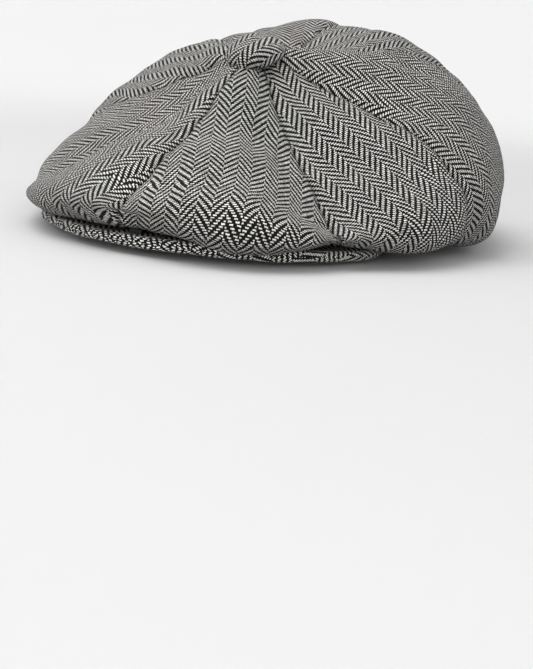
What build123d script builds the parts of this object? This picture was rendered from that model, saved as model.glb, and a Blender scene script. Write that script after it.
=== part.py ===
from build123d import *
import math
import os

# Newsboy cap: eight crown panels gathered under a covered button, a band round the head and a
# stiffened peak. Millimetres. +Z is up, -Y is the front, X = 0 is the plane of symmetry.
# The origin is the centre of the head opening, level with the band's lower edge.
# A list of five values holds for the directions 0, 45, 90, 135 and 180 degrees from the front,
# measured round the button. A smooth even curve joins them.

# band and head opening
opening_length = 200.0          # front to back, inside the sweatband
opening_width = 165.0           # side to side, inside the sweatband
band_height = 22.0
band_cloth = 2.5                # doubled cloth of the outer band
canvas_thickness = 0.8
sweatband_thickness = 1.4
sweatband_rise = 2.0            # how far the sweatband stands above the outer band
canvas_inset = 1.0              # canvas ends this far inside both edges of the band

# crown
button_forward = 40.0           # button in front of the middle of the opening
cloth = 1.6
crown_hole = 3.5                # radius of the opening in the crown that the button shank passes
crown_overhang = (47.5, 39.0, 34.0, 27.5, 19.0)    # widest line outside the band
button_rise = 68.0              # heights above the band's upper edge, on the seams
inner_rise = (50.0, 43.0, 55.0, 71.0, 69.0)        # a quarter of the way out
middle_rise = (25.0, 16.5, 40.5, 70.0, 87.0)       # just past half way out
shoulder_rise = (6.0, -4.0, 25.0, 56.0, 58.0)      # near the widest line
widest_height = (18.0, 12.6, 21.0, 35.0, 42.0)     # heights above the band's lower edge
hem_height = (9.6, 8.2, 7.0, 6.0, 9.0)             # underside of the overhang
inner_share = 0.25
middle_share = 0.55
shoulder_share = 0.85
fold_share = 0.29               # a quarter round from the widest line to the hem passes here
tuck_share = 0.2                # where the underside turns up beside the band, as a share of the overhang
tuck_rise = 6.0
panel_puff = 2.2                # how far a panel stands out between its seams
seam_angles = (0.0, 52.5, 92.5, 135.0, 180.0)
panel_names = ("front", "side_front", "side_rear", "back")
sections_per_panel = 6
points_per_run = 3              # straight runs between two named points of a section

# lining
lining_thickness = 0.6
lining_gap = 4.2                # lining below the outer face of the crown
lining_hole = 6.0

# peak
peak_depth = 43.5               # front edge in front of the band
peak_end_angle = 82.0           # corners of the peak, measured round the button
peak_fullness = 0.6             # below 1 the peak's edge is fuller than a cosine
peak_thickness = 4.6
peak_rise = 3.8                 # front edge above the root
peak_board_thickness = 2.0
peak_board_inset = 3.0
peak_board_end_angle = 72.0
peak_sections = 28
peak_edge_steps = 6             # straight runs round the rolled edge
seam_gap = 0.15                 # between pieces that are sewn together

# button
button_radius = 13.5
button_height = 9.0
button_tilt = 16.0              # leans towards the front
button_cloth = 1.5
mould_wall = 0.8
button_back_thickness = 1.0
shank_wire = 0.7
shank_radius = 2.2

# small pieces
tack_length = 6.0
tack_width = 1.2
tack_slack = 0.35
tack_angles = (-18.0, 0.0, 18.0)
label_width = 38.0
label_height = 16.0
label_thickness = 0.4

# sizes that follow from those above
wall = band_cloth + canvas_thickness + sweatband_thickness
band_a = opening_length / 2 + wall      # outer half length of the band
band_b = opening_width / 2 + wall       # outer half width
button_y = -button_forward

os.makedirs("parts", exist_ok=True)


def save(node, solid):
    export_step(solid, f"parts/{node}.step")


def around(values, angle):
    """Value at an angle, on the even curve through five values from front to back."""
    last = len(values) - 1
    total = 0.0
    for k in range(last + 1):
        wave = 0.0
        for j, value in enumerate(values):
            end_weight = 0.5 if j in (0, last) else 1.0
            wave += end_weight * value * math.cos(math.pi * j * k / last)
        order_weight = 0.5 if k in (0, last) else 1.0
        total += order_weight * wave * 2 / last * math.cos(k * math.radians(angle))
    return total


def band_radius(angle):
    """Distance from the button's axis to the band's outer face, in plan."""
    across = math.sin(math.radians(angle))
    along = -math.cos(math.radians(angle))
    square = across ** 2 / band_b ** 2 + along ** 2 / band_a ** 2
    linear = 2 * button_y * along / band_a ** 2
    rest = button_y ** 2 / band_a ** 2 - 1
    return (-linear + math.sqrt(linear ** 2 - 4 * square * rest)) / (2 * square)


def crown_line(angle, puff=0.0):
    """Outer face of the crown at an angle, from the button hole to the band: (radius, height)."""
    band = band_radius(angle)
    reach = band + around(crown_overhang, angle)
    hem = around(hem_height, angle)
    widest = around(widest_height, angle)
    hem_radius = 0.35 * band + 0.65 * reach
    line = [
        (crown_hole, band_height + button_rise, 0.0),
        (inner_share * reach, band_height + around(inner_rise, angle), 0.6),
        (middle_share * reach, band_height + around(middle_rise, angle), 1.0),
        (shoulder_share * reach, band_height + around(shoulder_rise, angle), 1.0),
        (reach, widest, 0.7),
        (reach - fold_share * (reach - hem_radius), hem + fold_share * (widest - hem), 0.4),
        (hem_radius, hem, 0.0),
        (band + tuck_share * (reach - band), hem + tuck_rise, 0.0),
        (band + seam_gap + cloth, band_height - 0.5, 0.0),
    ]
    return [(r + 0.7 * puff * share, z + 0.7 * puff * share) for r, z, share in line]


def crown_height(angle, radius):
    """Height of the crown's outer face over a radius, along straight runs between its points."""
    line = crown_line(angle)
    for (r0, z0), (r1, z1) in zip(line, line[1:]):
        if r0 <= radius <= r1:
            return z0 + (z1 - z0) * (radius - r0) / (r1 - r0)
    return line[0][1]


def lining_line(angle):
    """Outer face of the lining at an angle, from the top to the sweatband."""
    foot = band_radius(angle) - band_cloth + lining_thickness
    shoulder = foot + 2.0
    line = [(lining_hole, crown_height(angle, lining_hole) - lining_gap)]
    for share in (0.35, 0.65, 0.88):
        line.append((share * shoulder, crown_height(angle, share * shoulder) - lining_gap))
    line.append((shoulder, (crown_height(angle, shoulder) + band_height) / 2))
    line.append((foot, band_height + seam_gap))
    return line


def slopes(line):
    """Direction of the even curve through a line's points, for one unit of its length, at each point."""
    result = []
    for i, (r, z) in enumerate(line):
        before = line[max(i - 1, 0)]
        after = line[min(i + 1, len(line) - 1)]
        run_before = math.dist(before, (r, z)) or 1.0
        run_after = math.dist(after, (r, z)) or 1.0
        pull_before = 0.0 if i == 0 else 1 / run_before
        pull_after = 0.0 if i == len(line) - 1 else 1 / run_after
        pull = pull_before + pull_after
        along_r = pull_before * (r - before[0]) / run_before + pull_after * (after[0] - r) / run_after
        along_z = pull_before * (z - before[1]) / run_before + pull_after * (after[1] - z) / run_after
        result.append((along_r / pull, along_z / pull))
    return result


def smooth(line, steps):
    """Line with more points on it, which lie on the even curve through its own points."""
    points = []
    directions = slopes(line)
    for p, q, p_slope, q_slope in zip(line, line[1:], directions, directions[1:]):
        run = math.dist(p, q)
        for step in range(steps):
            t = step / steps
            points.append(tuple(
                a * (2 * t ** 3 - 3 * t ** 2 + 1) + da * run * (t ** 3 - 2 * t ** 2 + t)
                + b * (3 * t ** 2 - 2 * t ** 3) + db * run * (t ** 3 - t ** 2)
                for a, b, da, db in zip(p, q, p_slope, q_slope)))
    return [*points, line[-1]]


def inward(line, distance):
    """The same line moved inwards by a distance, square to itself at each point."""
    moved = []
    for (r, z), (along_r, along_z) in zip(line, slopes(line)):
        length = math.hypot(along_r, along_z)
        moved.append((r + distance * along_z / length, z - distance * along_r / length))
    return moved


def upright(outline, angle):
    """Closed outline of (radius, height) points, standing in the upright plane at an angle."""
    across = math.sin(math.radians(angle))
    along = -math.cos(math.radians(angle))
    loop = [Vector(r * across, button_y + r * along, z) for r, z in outline]
    return Wire(Polyline(*loop, close=True).edges())


def section(line, thickness, angle):
    """Upright outline of a cloth section."""
    outer = smooth(line, points_per_run)
    inner = inward(outer, thickness)
    return upright([*outer, *reversed(inner)], angle)


def gore(first_angle, last_angle, line_at, thickness, puff):
    """One panel of cloth between two seams, ruled between its upright sections."""
    sections = []
    for i in range(sections_per_panel + 1):
        share = i / sections_per_panel
        angle = first_angle + (last_angle - first_angle) * share
        bulge = puff * math.sin(math.pi * share)
        line = line_at(angle, bulge) if puff else line_at(angle)
        sections.append(section(line, thickness, angle))
    return Solid.make_loft(sections, ruled=True)


def ring(outer_inset, inner_inset, bottom, top):
    """Upright oval ring, given by how far its faces lie inside the band's outer face."""
    outer = Ellipse(band_b - outer_inset, band_a - outer_inset)
    inner = Ellipse(band_b - inner_inset, band_a - inner_inset)
    return Pos(0, 0, bottom) * extrude(outer - inner, top - bottom)


def make_crown():
    for name, first, last in zip(panel_names, seam_angles, seam_angles[1:]):
        panel = gore(first, last, crown_line, cloth, panel_puff)
        save(f"crown_panel_{name}_left", panel)
        save(f"crown_panel_{name}_right", panel.mirror(Plane.YZ))


def make_lining():
    for name, first, last in zip(panel_names, seam_angles, seam_angles[1:]):
        panel = gore(first, last, lining_line, lining_thickness, 0.0)
        save(f"lining_panel_{name}_left", panel)
        save(f"lining_panel_{name}_right", panel.mirror(Plane.YZ))


def make_band():
    canvas_inner = band_cloth + canvas_thickness
    save("outer_band", ring(0, band_cloth, 0, band_height))
    save("band_canvas", ring(band_cloth, canvas_inner, canvas_inset, band_height - canvas_inset))
    save("sweatband", ring(canvas_inner, wall, 0, band_height + sweatband_rise))


def peak_reach(angle):
    """How far the peak stands out from the band at an angle."""
    quarter = math.radians(90 * abs(angle) / (peak_end_angle + 1))
    return peak_depth * math.cos(quarter) ** peak_fullness


def peak_top(angle, radius):
    """Height of the peak's upper face, which rises evenly away from the band."""
    return peak_thickness + peak_rise * (radius - band_radius(angle)) / peak_depth


def peak_layer(angle, side):
    """Half of the peak's section: side is 1 for the upper half and -1 for the lower one."""
    root = band_radius(angle) + seam_gap
    tip = band_radius(angle) + peak_reach(angle)
    half = peak_thickness / 2
    edge_centre = tip - half
    points = [(root, peak_top(angle, root) - half), (root, peak_top(angle, root) - half + side * half)]
    for step in range(peak_edge_steps + 1):
        turn = math.radians(90 * step / peak_edge_steps)
        r = edge_centre + half * math.sin(turn)
        points.append((r, peak_top(angle, edge_centre) - half + side * half * math.cos(turn)))
    return points


def board_layer(angle):
    """Section of the board, in the middle of the peak's thickness."""
    root = band_radius(angle) + peak_board_inset
    tip = band_radius(angle) + peak_reach(angle) - peak_board_inset
    above = (peak_thickness - peak_board_thickness) / 2
    below = above + peak_board_thickness
    return [
        (root, peak_top(angle, root) - above),
        (tip, peak_top(angle, tip) - above),
        (tip, peak_top(angle, tip) - below),
        (root, peak_top(angle, root) - below),
    ]


def fan(outline_at, end_angle):
    """Solid through upright outlines, from one corner of the peak to the other."""
    angles = [end_angle * (2 * i / peak_sections - 1) for i in range(peak_sections + 1)]
    return Solid.make_loft([upright(outline_at(angle), angle) for angle in angles], ruled=True)


def make_peak():
    board = fan(board_layer, peak_board_end_angle)
    save("peak_top_cover", fan(lambda angle: peak_layer(angle, 1), peak_end_angle) - board)
    save("peak_under_cover", fan(lambda angle: peak_layer(angle, -1), peak_end_angle) - board)
    save("peak_board", board)


def make_button():
    """Button pieces turned about the button's own axis, then leaned forward."""
    seat = Pos(0, button_y, band_height + button_rise + seam_gap) * Rot(button_tilt, 0, 0)

    def dome(radius, bottom, top):
        with_edge = Spline((0, top), (0.62 * radius, bottom + 0.86 * (top - bottom)), (radius, bottom + 1.5),
                           tangents=[(1, 0), (0, -1)])
        outline = Wire([
            Line((0, bottom), (0, top)),
            with_edge,
            Line((radius, bottom + 1.5), (radius - 1.5, bottom)),
            Line((radius - 1.5, bottom), (0, bottom)),
        ])
        return revolve(Plane.XZ * Face(outline), Axis.Z)

    mould_radius = button_radius - button_cloth
    mould_top = button_height - button_cloth
    filled = dome(mould_radius, button_cloth, mould_top)
    hollow = dome(mould_radius - mould_wall, button_cloth, mould_top - mould_wall)
    back_radius = mould_radius - mould_wall - 1.7
    back = Pos(0, 0, button_cloth) * extrude(Circle(back_radius), button_back_thickness)
    cover = dome(button_radius, 0, button_height) - filled
    cover -= extrude(Circle(shank_radius + shank_wire + seam_gap), button_cloth)
    shank = Pos(0, 0, button_cloth) * Rot(90, 0, 0) * Torus(shank_radius, shank_wire)
    shank &= Pos(0, 0, -10 + button_cloth) * Box(20, 20, 20)
    save("button_cover", seat * cover)
    save("button_mould", seat * (filled - hollow))
    save("button_back", seat * back)
    save("button_shank", seat * shank)


def make_small_pieces():
    tacks = []
    for angle in tack_angles:
        hem = around(hem_height, abs(angle))
        radius = 0.35 * band_radius(angle) + 0.65 * (band_radius(angle) + around(crown_overhang, abs(angle)))
        bottom = peak_top(angle, radius)
        bar = Box(tack_length, tack_width, hem - bottom - 2 * tack_slack)
        across = math.sin(math.radians(angle))
        along = -math.cos(math.radians(angle))
        tacks.append(Pos(radius * across, button_y + radius * along, (hem + bottom) / 2) * bar)
    save("peak_tacks", Compound(children=tacks))
    label = Box(label_width, label_thickness, label_height)
    save("care_label", Pos(0, band_a - wall - 1.2, band_height + label_height / 2 + 4.0) * label)


make_crown()
make_lining()
make_band()
make_peak()
make_button()
make_small_pieces()
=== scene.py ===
import math

import bpy
import numpy as np
from mathutils import Matrix, Vector


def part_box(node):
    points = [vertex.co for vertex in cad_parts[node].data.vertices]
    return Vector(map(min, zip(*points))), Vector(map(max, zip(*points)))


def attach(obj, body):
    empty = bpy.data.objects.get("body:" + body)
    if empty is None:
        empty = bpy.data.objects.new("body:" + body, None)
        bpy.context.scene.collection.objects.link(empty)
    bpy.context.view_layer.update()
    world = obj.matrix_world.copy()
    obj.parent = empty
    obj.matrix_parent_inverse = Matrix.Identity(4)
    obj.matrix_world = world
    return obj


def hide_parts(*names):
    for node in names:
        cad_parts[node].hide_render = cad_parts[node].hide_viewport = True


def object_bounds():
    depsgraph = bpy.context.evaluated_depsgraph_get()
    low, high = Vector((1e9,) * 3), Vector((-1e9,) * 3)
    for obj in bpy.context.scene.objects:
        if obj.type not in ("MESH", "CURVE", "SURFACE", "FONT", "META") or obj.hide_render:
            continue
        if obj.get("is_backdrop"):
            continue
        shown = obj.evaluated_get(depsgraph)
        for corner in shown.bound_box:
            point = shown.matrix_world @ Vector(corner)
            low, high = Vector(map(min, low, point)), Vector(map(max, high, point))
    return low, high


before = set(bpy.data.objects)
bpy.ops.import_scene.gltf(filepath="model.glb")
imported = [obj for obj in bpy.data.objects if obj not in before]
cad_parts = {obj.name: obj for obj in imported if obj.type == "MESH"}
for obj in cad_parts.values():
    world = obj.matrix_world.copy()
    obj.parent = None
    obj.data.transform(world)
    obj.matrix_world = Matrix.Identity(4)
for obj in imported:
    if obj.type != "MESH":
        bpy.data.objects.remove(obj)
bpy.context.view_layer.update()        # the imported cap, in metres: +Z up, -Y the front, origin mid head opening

scene = bpy.context.scene
mm = 0.001
body = "root"
panelNames = ("front", "side_front", "side_rear", "back")

print("newsboy cap: frame loaded,", len(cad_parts), "nodes")


bandLow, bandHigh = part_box("outer_band")
sweatLow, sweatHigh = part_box("sweatband")
crown = {
    "halfLength": bandHigh[1],          # outer half axes of the band
    "halfWidth": bandHigh[0],
    "bandHeight": bandHigh[2],
    "buttonY": -40.0 * mm,              # the button's axis, forward of the middle of the opening
    "hole": 3.5 * mm,
    "cloth": 1.6 * mm,
    "seams": (0.0, 52.5, 92.5, 135.0, 180.0),           # degrees from the front, round the button
    # each list below holds for 0, 45, 90, 135 and 180 degrees from the front, in millimetres
    "overhang": (47.5, 39.0, 34.0, 27.5, 19.0),
    "buttonRise": 68.0,
    "innerRise": (50.0, 43.0, 55.0, 71.0, 69.0),
    "middleRise": (25.0, 16.5, 40.5, 70.0, 87.0),
    "shoulderRise": (6.0, -4.0, 25.0, 56.0, 58.0),
    "widest": (18.0, 12.6, 21.0, 35.0, 42.0),
    "hem": (9.6, 8.2, 7.0, 6.0, 9.0),
    "shares": (0.25, 0.55, 0.85),       # the three upper stations, as shares of the reach
    "hemShare": 0.65,                   # the hem's place between the band and the reach
    "foldShare": 0.29,                  # the station between the widest point and the hem
    "tuckShare": 0.2,                   # the tucked-under cloth, as a share of the overhang
    "tuckRise": 6.0 * mm,
    "seamGap": 0.2 * mm,
    "footDrop": 0.5 * mm,
    "rowsPerRun": (22, 26, 24, 20, 7, 8, 10, 7),        # grid rows between two stations of the section
    "columns": 57,
    "puff": 1.7 * mm,
    "puffFullness": 0.8,
    "puffStart": 0.22,                  # share of the rows over which the fullness begins
    "evenColumns": 0.55,                # the rest of the columns' spacing is closed up beside the seams
    "frontFill": 8.5 * mm,              # the two front panels stand fuller over the peak
    "frontFillAt": 0.56,                # share of the rows where they are fullest
    "frontFillSpan": 0.17,
    "sideFill": 0.25,                   # the next panels' share of it
    "straightFrom": 64,                 # grid row past which the columns run on straight
    "seamDepth": 0.7 * mm,
    "seamWidth": 1.7 * mm,
    "seamFade": 0.05,                   # share of the rows over which the grooves begin
    "seamLine": 0.9 * mm,               # half width of the shaded line in a seam
    "sway": 1.5 * mm,                   # broad unevenness of the cloth
    "swaySize": 62 * mm,
    "ripple": 0.45 * mm,
    "rippleSize": 23 * mm,
    "pucker": 0.75 * mm,                # short waves beside the seams
    "puckerSize": 17 * mm,
    "puckerReach": 11 * mm,
    "gather": 0.9 * mm,                 # folds round the button
    "gatherReach": 17 * mm,
    "gatherStart": (4 * mm, 8 * mm),    # where the folds begin, and how quickly
    "underButton": 13 * mm,             # cloth nearer than this is shaded by the button
    "dipWidth": 10.5 * mm,
    "dip": 5.5 * mm,                    # how far the button draws the cloth down
}


def around(values, angle):              # even curve through five values: a cosine series in the angle
    values = np.asarray(values, float)
    last = len(values) - 1
    total = 0.0
    for k in range(last + 1):
        weights = np.where(np.isin(np.arange(last + 1), (0, last)), 0.5, 1.0)
        term = (weights * values * np.cos(np.pi * np.arange(last + 1) * k / last)).sum() * 2 / last
        total = total + term * np.cos(k * angle) * (0.5 if k in (0, last) else 1.0)
    return total


def bandRadius(angle):                  # from the button's axis to the band's oval, in plan
    across, along = np.sin(angle), -np.cos(angle)
    a, b, y = crown["halfLength"], crown["halfWidth"], crown["buttonY"]
    square = across ** 2 / b ** 2 + along ** 2 / a ** 2
    linear = 2 * y * along / a ** 2
    return (-linear + np.sqrt(linear ** 2 - 4 * square * (y ** 2 / a ** 2 - 1))) / (2 * square)


def crownStations(angle):               # radius and height of the nine named points of a section
    band, h = bandRadius(angle), crown["bandHeight"]
    over = around(crown["overhang"], angle) * mm
    reach = band + over
    hem, widest = around(crown["hem"], angle) * mm, around(crown["widest"], angle) * mm
    hemRadius = band + crown["hemShare"] * over
    fold = crown["foldShare"]
    inner, middle, shoulder = crown["shares"]
    flat = np.zeros_like(angle)
    radius = [flat + crown["hole"], inner * reach, middle * reach, shoulder * reach, reach,
              reach - fold * (reach - hemRadius), hemRadius, band + crown["tuckShare"] * over,
              band + crown["cloth"] + crown["seamGap"]]
    height = [flat + h + crown["buttonRise"] * mm, h + around(crown["innerRise"], angle) * mm,
              h + around(crown["middleRise"], angle) * mm, h + around(crown["shoulderRise"], angle) * mm,
              widest, hem + fold * (widest - hem), hem, hem + crown["tuckRise"],
              flat + h - crown["footDrop"]]
    return np.stack(radius), np.stack(height)


def runThrough(stations, rowsPerRun):   # Hermite curve, its slopes weighted towards the shorter run
    r, z = stations
    run = np.hypot(np.diff(r, axis=0), np.diff(z, axis=0))
    out = []
    for c in (r, z):
        pace = np.diff(c, axis=0) / run
        slope = np.empty_like(c)
        slope[0], slope[-1] = pace[0], pace[-1]
        slope[1:-1] = (pace[:-1] / run[:-1] + pace[1:] / run[1:]) / (1 / run[:-1] + 1 / run[1:])
        rows = []
        for i, count in enumerate(rowsPerRun):
            t = (np.arange(count) / count)[:, None]
            rows.append(c[i] * (2 * t ** 3 - 3 * t ** 2 + 1) + slope[i] * run[i] * (t ** 3 - 2 * t ** 2 + t)
                        + c[i + 1] * (3 * t ** 2 - 2 * t ** 3) + slope[i + 1] * run[i] * (t ** 3 - t ** 2))
        rows.append(c[-1:])
        out.append(np.concatenate(rows))
    return out


def drawnDown(points):                  # how far the button pulls the cloth under it down
    fromButton = np.hypot(points[..., 0], points[..., 1] - crown["buttonY"])
    return crown["dip"] * dent(fromButton, crown["dipWidth"], 4)


def standUp(r, z, angle):               # radius and height turned about the button's axis
    return np.stack([r * np.sin(angle), crown["buttonY"] - r * np.cos(angle), z], -1)


def unit(v):
    return v / np.maximum(np.linalg.norm(v, axis=-1, keepdims=True), 1e-12)


def outwardNormal(pointsAt, angle, step=0.01):  # square to a small turn and to the section itself
    turn = pointsAt(angle + step) - pointsAt(angle - step)
    along = np.gradient(pointsAt(angle), axis=0)
    return unit(np.cross(along, turn))


def softNoise(p, size, seed, waves=9):  # sum of sine waves in seeded directions, about -1 to 1
    rng = np.random.default_rng(seed)
    total = np.zeros(p.shape[:-1])
    for _ in range(waves):
        direction = unit(rng.normal(size=3))
        pace = 2 * np.pi / size * rng.uniform(0.6, 1.5)
        total += np.sin((p @ direction) * pace + rng.uniform(0, 2 * np.pi))
    return total / math.sqrt(waves)


def summed(steps):                      # running total across each row, starting from nothing
    between = 0.5 * (steps[:, 1:] + steps[:, :-1])
    return np.concatenate([np.zeros((len(steps), 1)), np.cumsum(between, 1)], 1)


def distanceToSeam(points):             # along each row, to the nearer side edge
    run = summed(np.linalg.norm(np.gradient(points, axis=1), axis=-1))
    return np.minimum(run, run[:, -1:] - run)


def dent(distance, width, power=2):     # one at nothing, fading out over the width
    return np.exp(-(distance / width) ** power)


def unrolled(points, lastBend=None):
    # flat cloth coordinates: each row keeps its length and its own bending within the surface, and starts
    # from the panel's centre line, along which the second coordinate is plain length
    middle = points.shape[1] // 2
    across = np.gradient(points, axis=1)
    stretch = np.linalg.norm(across, axis=-1)
    tangent = unit(across)
    down = unit(np.gradient(points, axis=0))
    side = unit(down - (down * tangent).sum(-1, keepdims=True) * tangent)
    bend = ((tangent[:, 1:] - tangent[:, :-1]) * 0.5 * (side[:, 1:] + side[:, :-1])).sum(-1)
    heading = np.concatenate([np.zeros((len(points), 1)), np.cumsum(bend, 1)], 1)
    startHeading = np.arcsin(np.clip((tangent[:, middle] * down[:, middle]).sum(-1), -1, 1))
    heading += (startHeading - heading[:, middle])[:, None]
    if lastBend is not None:            # past this row the cloth is eased in and its columns run straight
        heading[lastBend:] = heading[lastBend]
    u, v = summed(stretch * np.cos(heading)), summed(stretch * np.sin(heading))
    centreRun = np.linalg.norm(np.diff(points[:, middle], axis=0), axis=-1)
    length = np.concatenate([[0.0], np.cumsum(centreRun)])
    return u - u[:, middle:middle + 1], v - v[:, middle:middle + 1] + length[:, None]


sharpAngle = math.radians(55)           # rims turn more sharply than this


def shellMesh(name, outer, inner, u, v, closed=False, values=None):
    # closed wall between two grids of points, with its cloth coordinates in metres as its UV map
    rows, cols = outer.shape[:2]
    points = np.concatenate([outer.reshape(-1, 3), inner.reshape(-1, 3)])
    index = np.arange(rows * cols).reshape(rows, cols)
    wide = np.concatenate([index, index[:, :1]], 1) if closed else index
    quads = np.stack([wide[:-1, :-1], wide[:-1, 1:], wide[1:, 1:], wide[1:, :-1]], -1).reshape(-1, 4)
    back = rows * cols
    faces = [quads, quads[:, ::-1] + back]
    rims = [(wide[0], 1), (wide[-1], -1)]
    if not closed:
        rims += [(index[:, 0], -1), (index[:, -1], 1)]
    for rim, way in rims:
        wall = np.stack([rim[:-1], rim[:-1] + back, rim[1:] + back, rim[1:]], -1)
        faces.append(wall[:, ::way])
    faces = np.concatenate(faces)
    a, b, c = (points[faces[:, k]] for k in (0, 1, 2))
    d = points[faces[:, 3]]
    volume = (np.cross(a, b) * c).sum() + (np.cross(a, c) * d).sum()
    if volume < 0:
        faces = faces[:, ::-1]
    mesh = bpy.data.meshes.new(name)
    mesh.vertices.add(len(points))
    mesh.vertices.foreach_set("co", points.astype(np.float32).ravel())
    mesh.loops.add(faces.size)
    mesh.loops.foreach_set("vertex_index", faces.astype(np.int32).ravel())
    mesh.polygons.add(len(faces))
    mesh.polygons.foreach_set("loop_start", np.arange(0, faces.size, 4, dtype=np.int32))
    mesh.update(calc_edges=True)
    uv = np.stack([np.tile(u.ravel(), 2), np.tile(v.ravel(), 2)], -1)[faces.ravel()]
    mesh.uv_layers.new(name="cloth").data.foreach_set("uv", uv.astype(np.float32).ravel())
    for key, grid in (values or {}).items():
        both = np.tile(grid.ravel(), 2).astype(np.float32)
        mesh.attributes.new(key, "FLOAT", "POINT").data.foreach_set("value", both)
    mesh.validate()
    mesh.polygons.foreach_set("use_smooth", np.ones(len(mesh.polygons), bool))
    mesh.set_sharp_from_angle(angle=sharpAngle)
    piece = bpy.data.objects.new(name, mesh)
    scene.collection.objects.link(piece)
    return piece


def finishPiece(piece, material, slot, *nodes):
    piece.data.materials.append(material)
    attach(piece, body)
    if nodes:
        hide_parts(*nodes)
    return piece


class Graph:                            # short way to write a material's nodes
    def __init__(self, name):
        self.material = bpy.data.materials.new(name)
        self.material.use_nodes = True
        self.tree = self.material.node_tree
        self.shader = self.tree.nodes["Principled BSDF"]

    def put(self, socket, value):
        if isinstance(value, bpy.types.NodeSocket):
            self.tree.links.new(value, socket)
        else:
            socket.default_value = value

    def node(self, kind, settings=None, **inputs):
        made = self.tree.nodes.new(kind)
        for key, value in (settings or {}).items():
            setattr(made, key, value)
        for key, value in inputs.items():
            self.put(made.inputs[int(key[1:])] if key[1:].isdigit() else made.inputs[key], value)
        return made

    def cloth(self):                    # the piece's own cloth coordinates, in metres
        return self.node("ShaderNodeUVMap", {"uv_map": "cloth"}).outputs[0]

    def apart(self, vector):
        return self.node("ShaderNodeSeparateXYZ", Vector=vector).outputs

    def math(self, operation, a, b=0.0, c=0.0):
        return self.node("ShaderNodeMath", {"operation": operation}, i0=a, i1=b, i2=c).outputs[0]

    def noise(self, vector, scale, detail=2.0):
        return self.node("ShaderNodeTexNoise", Vector=vector, Scale=scale, Detail=detail).outputs["Fac"]

    def mixColour(self, factor, a, b):
        made = self.node("ShaderNodeMix", {"data_type": "RGBA"})
        self.put(made.inputs[0], factor)
        self.put(made.inputs[6], a)
        self.put(made.inputs[7], b)
        return made.outputs[2]

    def mixValue(self, factor, a, b):
        return self.node("ShaderNodeMix", {"data_type": "FLOAT"}, i0=factor, i2=a, i3=b).outputs[0]

    def bump(self, height, distance, strength=1.0):
        made = self.node("ShaderNodeBump", Height=height, Distance=distance, Strength=strength)
        self.put(self.shader.inputs["Normal"], made.outputs[0])

    def finish(self, **inputs):
        for key, value in inputs.items():
            self.put(self.shader.inputs[key.replace("_", " ")], value)
        return self.material


tweed = {
    "end": 0.78 * mm,                   # one warp yarn
    "pick": 0.99 * mm,                  # one weft yarn
    "endsPerColumn": 8.0,
    "light": (1.0, 0.985, 0.95, 1.0),
    "lightDull": (0.40, 0.39, 0.37, 1.0),
    "dark": (0.003, 0.0028, 0.0025, 1.0),
    "darkDull": (0.018, 0.017, 0.016, 1.0),
    "wander": 0.5 * mm,                 # how far a column strays from straight
    "fray": 0.38,                       # unevenness of a yarn's edge, in yarns
    "gap": 0.45,                        # dark share between two light yarns
    "relief": 0.30 * mm,
    "wanderPace": 55.0,                 # noise paces are per metre
    "frayPace": 1500.0,
    "tonePace": 900.0,
    "fibrePace": 2600.0,
    "broadPace": 26.0,
    "along": 0.12,                      # how slowly a yarn's tone changes along it
    "roundness": 0.8,
    "edgeShade": 0.35,                  # how much darker a yarn is at its edges
}


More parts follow.
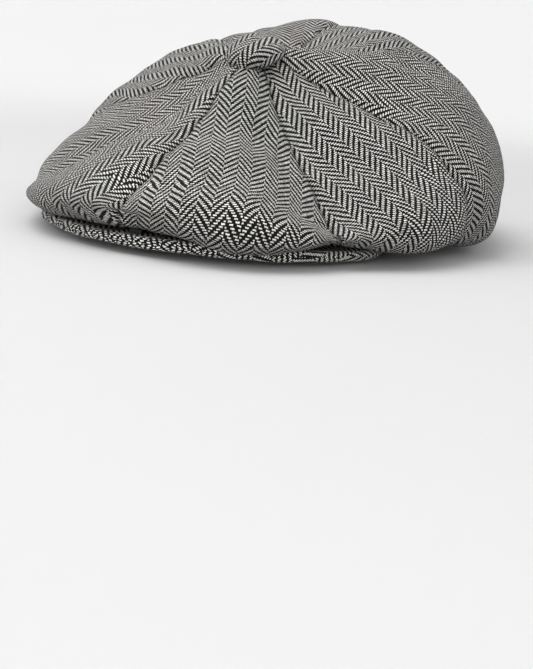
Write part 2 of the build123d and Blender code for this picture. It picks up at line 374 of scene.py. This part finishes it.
def makeTweed():
    # two-and-two herringbone: light weft shows where end plus pick falls in the first half of four, and
    # every second column counts its ends backwards, from nine, which is half a repeat further on
    g = Graph("herringboneTweed")
    cloth = g.cloth()
    place = g.apart(cloth)
    slow = g.node("ShaderNodeTexNoise", Vector=cloth, Scale=tweed["wanderPace"], Detail=1.0)
    fine = g.node("ShaderNodeTexNoise", Vector=cloth, Scale=tweed["frayPace"], Detail=2.0)
    slowParts, fineParts = g.apart(slow.outputs["Color"]), g.apart(fine.outputs["Color"])

    def yarns(axis, pitch):             # which yarn a point is on, and how far across that yarn
        stray = g.math("MULTIPLY", g.math("SUBTRACT", slowParts[axis], 0.5), 2 * tweed["wander"] / pitch)
        rough = g.math("MULTIPLY", g.math("SUBTRACT", fineParts[axis], 0.5), 2 * tweed["fray"])
        count = g.math("ADD", g.math("DIVIDE", place[axis], pitch), g.math("ADD", stray, rough))
        whole = g.math("FLOOR", count)
        return whole, g.math("SUBTRACT", count, whole)

    def roundYarn(across):
        return g.math("POWER", g.math("SINE", g.math("MULTIPLY", across, math.pi)), tweed["roundness"])

    def yarnTone(x, y):
        spot = g.node("ShaderNodeCombineXYZ", X=x, Y=y).outputs[0]
        return g.noise(spot, tweed["tonePace"], 1.0)

    end, acrossEnd = yarns(0, tweed["end"])
    pick, acrossPick = yarns(1, tweed["pick"])
    column = g.math("FLOOR", g.math("DIVIDE", end, tweed["endsPerColumn"]))
    inColumn = g.math("SUBTRACT", end, g.math("MULTIPLY", column, tweed["endsPerColumn"]))
    odd = g.math("FLOORED_MODULO", column, 2.0)
    turned = g.math("SUBTRACT", tweed["endsPerColumn"] + 1, g.math("MULTIPLY", inColumn, 2.0))
    counted = g.math("ADD", inColumn, g.math("MULTIPLY", odd, turned))
    phase = g.math("FLOORED_MODULO", g.math("ADD", counted, pick), 4.0)
    clearOfGap = g.math("GREATER_THAN", acrossPick, tweed["gap"])
    weftUp = g.math("MULTIPLY", g.math("LESS_THAN", phase, 1.5), clearOfGap)
    yarnRound = g.mixValue(weftUp, roundYarn(acrossEnd), roundYarn(acrossPick))

    alongPick, alongEnd = (g.math("MULTIPLY", place[axis], tweed["along"]) for axis in (0, 1))
    pickTone = yarnTone(alongPick, g.math("MULTIPLY", pick, tweed["pick"]))
    endTone = yarnTone(g.math("MULTIPLY", end, tweed["end"]), alongEnd)
    fibre = g.noise(cloth, tweed["fibrePace"], 3.0)
    lightTone = g.math("MULTIPLY_ADD", pickTone, 1.3, g.math("MULTIPLY_ADD", fibre, 1.5, -0.75))
    darkTone = g.math("MULTIPLY_ADD", endTone, 0.8, g.math("MULTIPLY_ADD", fibre, 1.1, -0.65))
    light = g.mixColour(lightTone, tweed["lightDull"], tweed["light"])
    dark = g.mixColour(darkTone, tweed["dark"], tweed["darkDull"])
    yarn = g.mixColour(weftUp, dark, light)
    # painted shade: each yarn is darker towards its edges, where its round form turns away from the light
    depth = g.math("MULTIPLY_ADD", yarnRound, tweed["edgeShade"], 1 - tweed["edgeShade"])
    # painted shade along the seams and round the foot of the button, from each piece's seamShade values
    paintedShade = g.node("ShaderNodeAttribute", {"attribute_name": "seamShade"}).outputs["Fac"]
    broad = g.math("MULTIPLY_ADD", g.noise(cloth, tweed["broadPace"], 2.0), 0.22, 0.89)
    # colour times painted shade (yarn edges, seams, under the button) and a random broad tone
    shade = g.math("MULTIPLY", g.math("MULTIPLY", depth, broad), g.math("SUBTRACT", 1.0, paintedShade))
    grey = g.node("ShaderNodeCombineColor", i0=shade, i1=shade, i2=shade).outputs[0]
    coloured = g.node("ShaderNodeMix", {"data_type": "RGBA", "blend_type": "MULTIPLY"}, i0=1.0)
    g.put(coloured.inputs[6], yarn)
    g.put(coloured.inputs[7], grey)
    height = g.math("MULTIPLY_ADD", fibre, 0.5, g.math("MULTIPLY", yarnRound, g.mixValue(weftUp, 0.75, 1.0)))
    g.bump(height, tweed["relief"])
    return g.finish(Base_Color=coloured.outputs[2], Roughness=0.92, Specular_IOR_Level=0.1,
                    Sheen_Weight=0.02, Sheen_Roughness=0.6)


lining = {
    "thickness": 0.6 * mm,
    "gap": 4.2 * mm,
    "hole": 6.0 * mm,
    "columns": 41,
    "rowsPerRun": (14, 14, 10, 10, 8),
    "shares": (0.35, 0.65, 0.88),       # upper stations, as shares of the shoulder's radius
    "shoulder": 2.0 * mm,               # how far the shoulder stands outside the foot
    "seamGap": 0.15 * mm,
    "sway": 0.9 * mm,
    "swaySize": 30 * mm,
    "rippleSize": 13 * mm,
    "slackIn": 0.2 * mm,
    "seamDepth": 0.5 * mm,
    "seamWidth": 1.2 * mm,
    "colour": (0.028, 0.028, 0.032, 1.0),
    "colourLight": (0.06, 0.06, 0.066, 1.0),
    "thread": 0.24 * mm,
}


def makeSatin():                        # fine warp-faced satin: long thin threads with a soft gloss
    g = Graph("liningSatin")
    cloth = g.cloth()
    longThreads = g.node("ShaderNodeMapping", Vector=cloth, Scale=(1.0, 0.06, 1.0)).outputs[0]
    thread = g.noise(longThreads, 1 / lining["thread"], 2.0)
    cloudy = g.noise(cloth, 40.0, 3.0)
    tone = g.math("MULTIPLY_ADD", cloudy, 0.6, g.math("MULTIPLY", thread, 0.4))
    g.bump(thread, 0.05 * mm)
    rough = g.math("MULTIPLY_ADD", thread, 0.16, 0.30)
    return g.finish(Base_Color=g.mixColour(tone, lining["colour"], lining["colourLight"]), Roughness=rough,
                    Specular_IOR_Level=0.5, Sheen_Weight=0.15, Anisotropic=0.5)


def makeTwill(name, colour, colourLight, pitch=0.6 * mm):      # plain diagonal rib of a woven tape
    g = Graph(name)
    cloth = g.cloth()
    place = g.apart(cloth)
    slanted = g.math("DIVIDE", g.math("ADD", place[0], place[1]), pitch)
    rib = g.math("SINE", g.math("MULTIPLY", slanted, 2 * math.pi))
    rib = g.math("MULTIPLY_ADD", rib, 0.5, 0.5)
    fibre = g.noise(cloth, 2200.0, 3.0)
    g.bump(g.math("MULTIPLY_ADD", fibre, 0.4, rib), 0.12 * mm)
    tone = g.math("MULTIPLY_ADD", rib, 0.5, g.math("MULTIPLY", fibre, 0.5))
    return g.finish(Base_Color=g.mixColour(tone, colour, colourLight), Roughness=0.85,
                    Specular_IOR_Level=0.25, Sheen_Weight=0.1)


def makePlain(name, colour, colourLight, grain, rough, metal=0.0):     # cloudy finish of a hidden piece
    g = Graph(name)
    place = g.node("ShaderNodeTexCoord").outputs["Object"]
    cloud = g.noise(place, grain, 4.0)
    g.bump(cloud, 0.08 * mm)
    roughness = g.math("MULTIPLY_ADD", cloud, 0.2, rough - 0.1)
    return g.finish(Base_Color=g.mixColour(cloud, colour, colourLight), Roughness=roughness, Metallic=metal)


tweedCloth = makeTweed()
satin = makeSatin()
sweatTape = makeTwill("sweatbandTwill", (0.02, 0.02, 0.022, 1.0), (0.07, 0.07, 0.072, 1.0))
labelTape = makeTwill("blankLabelTape", (0.62, 0.61, 0.58, 1.0), (0.82, 0.81, 0.78, 1.0), 0.35 * mm)
canvas = makePlain("bandCanvas", (0.42, 0.36, 0.26, 1.0), (0.62, 0.55, 0.42, 1.0), 900.0, 0.9)
board = makePlain("peakBoard", (0.70, 0.70, 0.68, 1.0), (0.82, 0.82, 0.80, 1.0), 160.0, 0.5)
blackThread = makePlain("blackThread", (0.015, 0.015, 0.015, 1.0), (0.05, 0.05, 0.05, 1.0), 2500.0, 0.7)
pressedAluminium = makePlain("pressedAluminium", (0.62, 0.62, 0.63, 1.0), (0.78, 0.78, 0.79, 1.0),
                             400.0, 0.35, 1.0)
drawnWire = makePlain("drawnWire", (0.45, 0.45, 0.46, 1.0), (0.62, 0.62, 0.62, 1.0), 700.0, 0.3, 1.0)
print("newsboy cap: materials made")


def crownPoints(angle):
    r, z = runThrough(crownStations(angle), crown["rowsPerRun"])
    return standUp(r, z, angle)


restingCreases = (                      # where the soft crown has folded: from and to in plan, width, depth
    ((62, 30), (38, -2), 5.0, 1.5),     # all in millimetres
    ((78, 12), (52, -12), 4.0, 1.1),
    ((48, 58), (22, 30), 5.5, 1.3),
    ((-60, 44), (-30, 18), 5.5, 1.4),
    ((-70, 0), (-44, -20), 4.5, 1.0),
    ((24, 88), (4, 56), 6.0, 1.1),
    ((-18, 96), (-22, 60), 6.0, 1.0),
)
creaseFloor = 30 * mm                   # below this height the cloth has no creases


def creases(points):                    # each is a shallow dent along a line, with a small ridge beside it
    total = np.zeros(points.shape[:-1])
    for start, end, width, depth in restingCreases:
        start, along = np.array(start) * mm, (np.array(end) - np.array(start)) * mm
        length = np.linalg.norm(along)
        along = along / length
        away = points[..., :2] - start
        run = away @ along / length
        side = away @ np.array((-along[1], along[0])) + 3 * mm * np.sin(np.pi * np.clip(run, 0, 1))
        fade = np.clip(np.minimum(run + 0.1, 1.1 - run) * 3, 0, 1) ** 2 * (points[..., 2] > creaseFloor)
        wide = width * mm
        total += fade * depth * mm * (0.6 * dent(side - 1.5 * wide, wide) - dent(side, 0.8 * wide))
    return total


def crownPanel(name, first, last, side):
    # the section turned from one seam to the next, plus along its normal: fullness between the seams, the
    # seams' grooves, seeded unevenness, folds and a dip at the button, and the creases
    share = np.linspace(0, 1, crown["columns"])
    swing = np.cos(np.pi * share)
    even = crown["evenColumns"]
    share = 0.5 - 0.5 * swing * (even + (1 - even) * np.abs(swing))
    share = (share - share[0]) / (share[-1] - share[0])
    angle = side * np.radians(first + (last - first) * share)
    base = crownPoints(angle)
    normal = outwardNormal(crownPoints, angle)
    rows = len(base)
    fromStart = (np.arange(rows) / (rows - 1))[:, None]
    upper = sum(crown["rowsPerRun"][:5]) / (rows - 1)              # share of the rows above the fold
    fullness = np.clip(fromStart / crown["puffStart"], 0, 1) ** crown["puffFullness"]
    fullness = fullness * np.clip((1.0 - fromStart) / (1.0 - upper), 0, 1)
    fill = crown["frontFill"] * dent(fromStart - crown["frontFillAt"], crown["frontFillSpan"])
    fill = fill * ((last <= crown["seams"][1]) + crown["sideFill"] * (first == crown["seams"][1]))
    puff = (crown["puff"] * fullness + fill) * np.sin(np.pi * share)[None] ** crown["puffFullness"]
    u, v = unrolled(base + normal * puff[..., None], crown["straightFrom"])
    toSeam = distanceToSeam(base)
    groove = crown["seamDepth"] * dent(toSeam, crown["seamWidth"])
    groove = groove * np.clip(fromStart / crown["seamFade"], 0, 1)
    sway = crown["sway"] * softNoise(base, crown["swaySize"], 5)
    ripple = crown["ripple"] * softNoise(base, crown["rippleSize"], 8)
    pucker = crown["pucker"] * softNoise(base, crown["puckerSize"], 12)
    pucker = pucker * np.exp(-toSeam / crown["puckerReach"])
    fromButton = np.hypot(base[..., 0], base[..., 1] - crown["buttonY"])
    turn = np.arctan2(base[..., 0], crown["buttonY"] - base[..., 1])
    folds = 0.6 * np.sin(17 * turn + 0.7) + 0.5 * np.sin(27 * turn + 2.1 + 90 * fromButton)
    begins, rises = crown["gatherStart"]
    folds = folds * dent(fromButton, crown["gatherReach"]) * np.clip((fromButton - begins) / rises, 0, 1)
    shift = puff - groove + (sway + ripple + pucker) * fullness + crown["gather"] * folds
    shift = shift - drawnDown(base) + creases(base)
    outer = base + normal * shift[..., None]
    inner = outer - normal * crown["cloth"]
    # painted shade: a dark line along each seam, and darker cloth round the foot of the button
    seamShade = 0.6 * dent(toSeam, crown["seamLine"]) + 0.3 * dent(fromButton, crown["underButton"], 4)
    columnStart = 4 * tweed["end"] * (first + 3) * side            # each panel is cut elsewhere on the cloth
    return shellMesh(name, outer, inner, u + columnStart, v, values={"seamShade": seamShade})


for panelName, firstSeam, lastSeam in zip(panelNames, crown["seams"], crown["seams"][1:]):
    for sideName, side in (("left", 1), ("right", -1)):
        made = crownPanel(f"crownPanel_{panelName}_{sideName}", firstSeam, lastSeam, side)
        finishPiece(made, tweedCloth, "tweed", f"crown_panel_{panelName}_{sideName}")
print("newsboy cap: crown panels sewn")


button = {
    "tilt": 26.0,
    "seat": (2.0 * mm, crown["buttonY"] - 3.0 * mm, 83.9 * mm),
    "wall": 1.3 * mm,
    "rows": 60,
    "columns": 144,
    "lump": 0.5 * mm,
    "least": 0.1 * mm,                  # smallest radius of an inner side
    "grain": 0.35,                      # turn of the weave on the button, in radians
    "grainShift": 3.3 * mm,
    "mouldWall": 0.8 * mm,
    "backWall": 0.7 * mm,
    "eyeDrop": 0.4 * mm,
    "wireRadius": 0.35 * mm,
    "eyeRadius": 2.2 * mm,
}
buttonTurn = np.linspace(0, 2 * np.pi, button["columns"], endpoint=False)[None]


def onButton(r, z):                     # radius and height on the leaning button, turned about its own axis
    x, y = r * np.sin(buttonTurn), -r * np.cos(buttonTurn)
    lean = math.radians(button["tilt"])
    seatX, seatY, seatZ = button["seat"]
    return np.stack([seatX + x + 0 * z, seatY + y * math.cos(lean) - z * math.sin(lean),
                     seatZ + y * math.sin(lean) + z * math.cos(lean)], -1)


def profileThrough(radii, heights, rows, rounding=12):  # run through a few points in mm, its corners evened
    way, stops = np.linspace(0, 1, rows), np.linspace(0, 1, len(radii))
    r, z = np.interp(way, stops, radii)[:, None] * mm, np.interp(way, stops, heights)[:, None] * mm
    for _ in range(rounding):
        for c in (r, z):
            c[1:-1] = 0.25 * c[:-2] + 0.5 * c[1:-1] + 0.25 * c[2:]
    return r, z


def buttonCover():
    # a dome: nearly flat over the top, round at the rim, and drawn in underneath to the neck
    r, z = profileThrough((0.2, 4.4, 8.3, 11.4, 13.8, 14.8, 14.7, 13.0, 9.5, 5.0),
                          (11.2, 11.0, 10.3, 9.0, 7.0, 4.6, 2.4, 0.9, 0.3, 0.2), button["rows"])
    run = np.concatenate([[[0.0]], np.cumsum(np.hypot(np.diff(r, axis=0), np.diff(z, axis=0)), 0)])
    way = np.linspace(0, 1, button["rows"])[:, None]
    edge = np.clip((way - 0.3) / 0.3, 0, 1)
    waves = ((1.0, 9, 0.4), (0.7, 14, 2.0), (0.5, 23, 1.1))        # height, folds round the rim, start
    folds = sum(high * np.sin(count * buttonTurn + start) for high, count, start in waves)
    swell = 0.5 * button["lump"] * edge * folds
    lump = button["lump"] * np.sin(2 * buttonTurn + 0.6) * dent(way - 0.35, 0.25)
    outer = onButton(r + swell, z + 0.35 * swell + lump)
    away = unit(np.stack([-np.gradient(z[:, 0]), np.gradient(r[:, 0])], -1))[:, None]
    innerRadius = np.maximum(r - button["wall"] * away[..., 0], button["least"])
    inner = onButton(innerRadius, z - button["wall"] * away[..., 1])
    grain = buttonTurn + button["grain"]
    u, v = run * np.sin(grain) + button["grainShift"], run * np.cos(grain)
    # painted shade: the underside of the button darkens towards its neck, kept with the seams' painted shade
    shade = 0.5 * np.clip((way - 0.75) / 0.2, 0, 1) + 0 * buttonTurn
    return shellMesh("buttonCover", outer, inner, u, v, closed=True, values={"seamShade": shade})


def buttonShell(name, radii, heights, wall):    # turned shell: the mould is a dome, the back a shallow dish
    r, z = profileThrough(radii, heights, 30, 3)
    outer, inner = onButton(r, z), onButton(np.maximum(r - 0.5 * wall, button["least"]), z - wall)
    return shellMesh(name, outer, inner, r * np.sin(buttonTurn), r * np.cos(buttonTurn), closed=True)


def buttonShank():                      # a ring of wire standing under the back
    tube = np.linspace(0.03, np.pi - 0.03, 12)[:, None]

    def ring(t):
        r = button["eyeRadius"] + button["wireRadius"] * np.cos(t)
        flat = onButton(0 * t, 0 * t)
        flat[..., 0] += r * np.sin(buttonTurn)
        flat[..., 1] += button["wireRadius"] * np.sin(t)
        flat[..., 2] += r * np.cos(buttonTurn) - button["eyeRadius"] + button["eyeDrop"]
        return flat

    arc = button["eyeRadius"] * buttonTurn + 0 * tube
    girth = button["wireRadius"] * tube + 0 * arc
    return shellMesh("buttonShank", ring(tube), ring(-tube), arc, girth, closed=True)


buttonMould = buttonShell("buttonMould", (0.3, 4.0, 7.5, 10.2, 12.0, 12.6, 12.7),
                          (9.4, 9.2, 8.6, 7.4, 5.6, 3.6, 1.8), button["mouldWall"])
buttonBack = buttonShell("buttonBack", (0.3, 3.0, 6.0, 9.0, 11.3), (2.2, 2.2, 2.3, 2.4, 2.9),
                         button["backWall"])
finishPiece(buttonMould, pressedAluminium, "button_metal", "button_mould")
finishPiece(buttonBack, pressedAluminium, "button_metal", "button_back")
finishPiece(buttonShank(), drawnWire, "shank_wire", "button_shank")
finishPiece(buttonCover(), tweedCloth, "tweed", "button_cover")
print("newsboy cap: button covered")


band = {
    "wall": 2.5 * mm,
    "canvas": 0.8 * mm,                 # room for the canvas between the band and the sweatband
    "columns": 320,
    "rows": 17,
    "round": 1.0 * mm,
    "sweatWall": 1.2 * mm,
    "sweatRound": 0.5 * mm,
    "sweatSway": 0.12 * mm,
    "swaySize": 35 * mm,
}


def ovalStrip(name, inset, wall, low, high, roundness, sway, seed):
    # a strip standing on an oval: a flattened ring whose upper and lower edges are rounded
    turn = np.linspace(0, 2 * np.pi, band["columns"], endpoint=False)[None]
    way = np.linspace(-1, 1, band["rows"])[:, None]
    z = (low + high) / 2 + (high - low) / 2 * np.sin(way * np.pi / 2) + 0 * turn
    edge = np.minimum(z - low, high - z)
    tuck = roundness * np.sqrt(np.clip(1 - np.clip(edge / roundness, 0, 1), 0, 1))
    a, b = crown["halfLength"] - inset, crown["halfWidth"] - inset

    def oval(inwards):
        return np.stack([(b - inwards) * np.sin(turn) + 0 * z, -(a - inwards) * np.cos(turn) + 0 * z, z], -1)

    middle = oval(wall / 2)
    wave = sway * softNoise(middle, band["swaySize"], seed)
    outer, inner = oval(tuck * 0.5 + wave), oval(wall - tuck * 0.3 + wave)
    midRow = middle[band["rows"] // 2]
    step = np.linalg.norm(np.diff(midRow, axis=0, append=midRow[:1]), axis=-1)
    u = np.concatenate([[0.0], np.cumsum(step)[:-1]])[None] + 0 * z
    return shellMesh(name, outer, inner, u, z, closed=True)


outerBand = ovalStrip("outerBand", 0, band["wall"], bandLow[2], bandHigh[2], band["round"], 0.0, 3)
sweatband = ovalStrip("sweatband", band["wall"] + band["canvas"], band["sweatWall"],
                      sweatLow[2], sweatHigh[2], band["sweatRound"], band["sweatSway"], 4)
finishPiece(outerBand, tweedCloth, "tweed", "outer_band")
finishPiece(sweatband, sweatTape, "sweatband", "sweatband")
print("newsboy cap: band and sweatband set in")


peak = {
    "depth": 43.5 * mm,
    "endAngle": 82.0,
    "fullness": 0.6,
    "thickness": 4.6 * mm,
    "rise": 3.8 * mm,
    "gap": 0.15 * mm,
    "columns": 181,
    "rows": 60,
    "sway": 0.35 * mm,
    "swaySize": 30 * mm,
    "coverWall": 1.3 * mm,
    "flatShare": 0.72,                  # share of the rows before the rolled edge
    "columnShift": 5 * mm,
}


def peakHalf(name, side):
    # one cover: flat from the band to the rolled edge, then a quarter round down to the edge's middle line
    angle = np.radians(peak["endAngle"]) * np.linspace(-1, 1, peak["columns"])[None]
    root = bandRadius(angle) + peak["gap"]
    taper = np.pi / 2 * np.abs(np.degrees(angle)) / (peak["endAngle"] + 1)
    reach = peak["depth"] * np.cos(taper) ** peak["fullness"]
    half = peak["thickness"] / 2
    edge = bandRadius(angle) + reach - half
    way = np.linspace(0, 1, peak["rows"])[:, None]
    flatShare = peak["flatShare"]
    turned = np.clip((way - flatShare) / (1 - flatShare), 0, 1) * np.pi / 2
    onFlat = root + (edge - root) * np.clip(way / flatShare, 0, 1)
    r = onFlat + half * np.sin(turned)
    middle = half + peak["rise"] * (onFlat - bandRadius(angle)) / peak["depth"]
    z = middle + side * half * np.cos(turned)
    outer = standUp(r, z, angle + 0 * way)
    wave = peak["sway"] * softNoise(outer, peak["swaySize"], 21 + side) * np.clip(way / 0.2, 0, 1)
    lift = peak["coverWall"] * np.cos(turned)
    inner = standUp(r - peak["coverWall"] * np.sin(turned), z - side * lift, angle + 0 * way)
    for skin in (outer, inner):
        skin[..., 2] += wave * np.cos(turned) * side
    spread = onFlat + half * turned
    u, v = spread * np.sin(angle) + peak["columnShift"] * side, spread * np.cos(angle)
    return shellMesh(name, outer, inner, u, v)


finishPiece(peakHalf("peakTopCover", 1), tweedCloth, "tweed", "peak_top_cover")
finishPiece(peakHalf("peakUnderCover", -1), tweedCloth, "tweed", "peak_under_cover")
print("newsboy cap: peak covered")


def crownHeightAt(stations, radius):    # straight runs between the section's upper points
    r, z = stations
    return np.array([np.interp(radius[i], r[:5, i], z[:5, i]) for i in range(len(radius))])


def liningPoints(angle):
    stations = crownStations(angle)
    foot = bandRadius(angle) - band["wall"] + lining["thickness"]
    shoulder = foot + lining["shoulder"]
    r = [0 * angle + lining["hole"]] + [share * shoulder for share in lining["shares"]]
    z = [crownHeightAt(stations, x) - lining["gap"] for x in r]
    r += [shoulder, foot]
    z.append((crownHeightAt(stations, shoulder) + crown["bandHeight"]) / 2)
    z.append(0 * angle + crown["bandHeight"] + lining["seamGap"])
    r, z = runThrough((np.stack(r), np.stack(z)), lining["rowsPerRun"])
    return standUp(r, z, angle)


def liningPanel(name, first, last, side):
    # the lining's section turned from seam to seam, slackened inwards by seeded waves except at its seams
    angle = side * np.radians(np.linspace(first, last, lining["columns"]))
    base = liningPoints(angle)
    normal = outwardNormal(liningPoints, angle)
    u, v = unrolled(base)
    row = np.arange(len(base))[:, None]
    fade = np.clip(np.minimum(row / 6, (len(base) - 1 - row) / 8), 0, 1)
    waves = softNoise(base, lining["swaySize"], 31) + 0.5 * softNoise(base, lining["rippleSize"], 32)
    slack = 0.8 * lining["sway"] * np.abs(waves) * fade
    seamIn = lining["seamDepth"] * dent(distanceToSeam(base), lining["seamWidth"]) * fade
    outer = base - normal * (slack + lining["slackIn"] - seamIn)[..., None]
    outer[..., 2] -= drawnDown(base)
    return shellMesh(name, outer, outer - normal * lining["thickness"], u, v)


for panelName, firstSeam, lastSeam in zip(panelNames, crown["seams"], crown["seams"][1:]):
    for sideName, side in (("left", 1), ("right", -1)):
        made = liningPanel(f"liningPanel_{panelName}_{sideName}", firstSeam, lastSeam, side)
        finishPiece(made, satin, "lining", f"lining_panel_{panelName}_{sideName}")
print("newsboy cap: lining sewn in")


hiddenFinish = {                        # these pieces keep their own shape
    "band_canvas": canvas,
    "peak_board": board,
    "peak_tacks": blackThread,
    "care_label": labelTape,
}
for node, material in hiddenFinish.items():
    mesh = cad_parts[node].data
    mesh.materials.clear()
    mesh.materials.append(material)
print("newsboy cap: hidden pieces finished")


studio = {
    "floorRadius": 2.6,
    "wallHeight": 2.6,
    "wallRound": 1.2,
    "floorDrop": 0.2 * mm,
    "nearPaper": ((0.54, 0.54, 0.54, 1.0), (0.57, 0.57, 0.57, 1.0)),
    "farPaper": ((0.88, 0.88, 0.88, 1.0), (0.90, 0.90, 0.90, 1.0)),
    "paperChange": (0.25, 1.8),         # distances between which the paper turns from near to far
    "skyStrength": 0.86,
    "lens": 54.0,
    "sensor": 36.0,
    "azimuth": 26.6,
    "elevation": 14.7,
    "roll": -5.0,
    "distance": 0.538,
    "target": (0.0126, -0.0267, -0.0567),
}


def paleFloor():
    # a round floor whose rim rises in one curve into a low wall
    turn = np.linspace(0, 2 * np.pi, 97)[None]
    bend = np.linspace(0, np.pi / 2, 17)[:, None]
    ring, rim = studio["wallRound"], studio["floorRadius"]
    r = np.concatenate([[[0.001], [0.5]], rim - ring + ring * np.sin(bend), [[rim]]])
    z = np.concatenate([[[0.0], [0.0]], ring - ring * np.cos(bend), [[studio["wallHeight"]]]])
    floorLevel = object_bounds()[0][2] - studio["floorDrop"]
    points = np.stack([r * np.sin(turn), r * np.cos(turn), z + floorLevel + 0 * turn], -1)
    rows, cols = points.shape[:2]
    index = np.arange(rows * cols).reshape(rows, cols)
    quads = np.stack([index[:-1, :-1], index[1:, :-1], index[1:, 1:], index[:-1, 1:]], -1).reshape(-1, 4)
    mesh = bpy.data.meshes.new("paleFloor")
    mesh.from_pydata(points.reshape(-1, 3).tolist(), [], quads.tolist())
    mesh.polygons.foreach_set("use_smooth", np.ones(len(quads), bool))
    floor = bpy.data.objects.new("paleFloor", mesh)
    scene.collection.objects.link(floor)
    g = Graph("palePaper")
    place = g.node("ShaderNodeTexCoord").outputs["Object"]
    cloud = g.noise(place, 3.0, 2.0)
    outwards = g.node("ShaderNodeVectorMath", {"operation": "LENGTH"}, i0=place).outputs["Value"]
    begins, ends = studio["paperChange"]
    smooth = {"interpolation_type": "SMOOTHSTEP"}
    change = g.node("ShaderNodeMapRange", smooth, i0=outwards, i1=begins, i2=ends)
    near, far = (g.mixColour(cloud, *studio[key]) for key in ("nearPaper", "farPaper"))
    paper = g.mixColour(change.outputs[0], near, far)
    mesh.materials.append(g.finish(Base_Color=paper, Roughness=0.9, Specular_IOR_Level=0.1))
    floor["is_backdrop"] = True


def softBox(name, place, aim, size, power):
    lamp = bpy.data.lights.new(name, "AREA")
    lamp.shape, lamp.size, lamp.energy = "DISK", size, power
    holder = bpy.data.objects.new(name, lamp)
    holder.location = place
    holder.rotation_euler = (Vector(aim) - Vector(place)).to_track_quat("-Z", "Y").to_euler()
    scene.collection.objects.link(holder)


def studioCamera():
    turn, up, roll = (math.radians(studio[k]) for k in ("azimuth", "elevation", "roll"))
    back = Vector((math.sin(turn) * math.cos(up), -math.cos(turn) * math.cos(up), math.sin(up)))
    right = (-back).cross(Vector((0, 0, 1))).normalized()
    upright = right.cross(-back)
    rolledRight = math.cos(roll) * right - math.sin(roll) * upright
    rolledUp = math.sin(roll) * right + math.cos(roll) * upright
    lens = bpy.data.cameras.new("studioCamera")
    lens.lens, lens.sensor_width = studio["lens"], studio["sensor"]
    holder = bpy.data.objects.new("studioCamera", lens)
    place = Vector(studio["target"]) + back * studio["distance"]
    turned = Matrix((rolledRight, rolledUp, back)).transposed().to_4x4()
    turned.translation = place
    holder.matrix_world = turned
    scene.collection.objects.link(holder)
    scene.camera = holder


paleFloor()
softBox("overheadSoftbox", (-0.35, -0.5, 1.5), (0, 0, 0.04), 1.3, 18)
softBox("frontLeftSoftbox", (-1.0, -1.1, 0.75), (0, 0, 0.04), 0.9, 4)
softBox("rightSoftbox", (1.3, -0.7, 0.7), (0, 0, 0.04), 1.0, 2.5)
softBox("lowFrontSoftbox", (0.45, -1.3, 0.2), (0, -0.05, 0.03), 0.8, 5)
world = bpy.data.worlds.new("softStudio")
world.use_nodes = True
world.node_tree.nodes["Background"].inputs["Color"].default_value = (1.0, 1.0, 1.0, 1.0)
world.node_tree.nodes["Background"].inputs["Strength"].default_value = studio["skyStrength"]
scene.world = world
scene.view_settings.view_transform = "Standard"
studioCamera()
print("newsboy cap: studio ready")
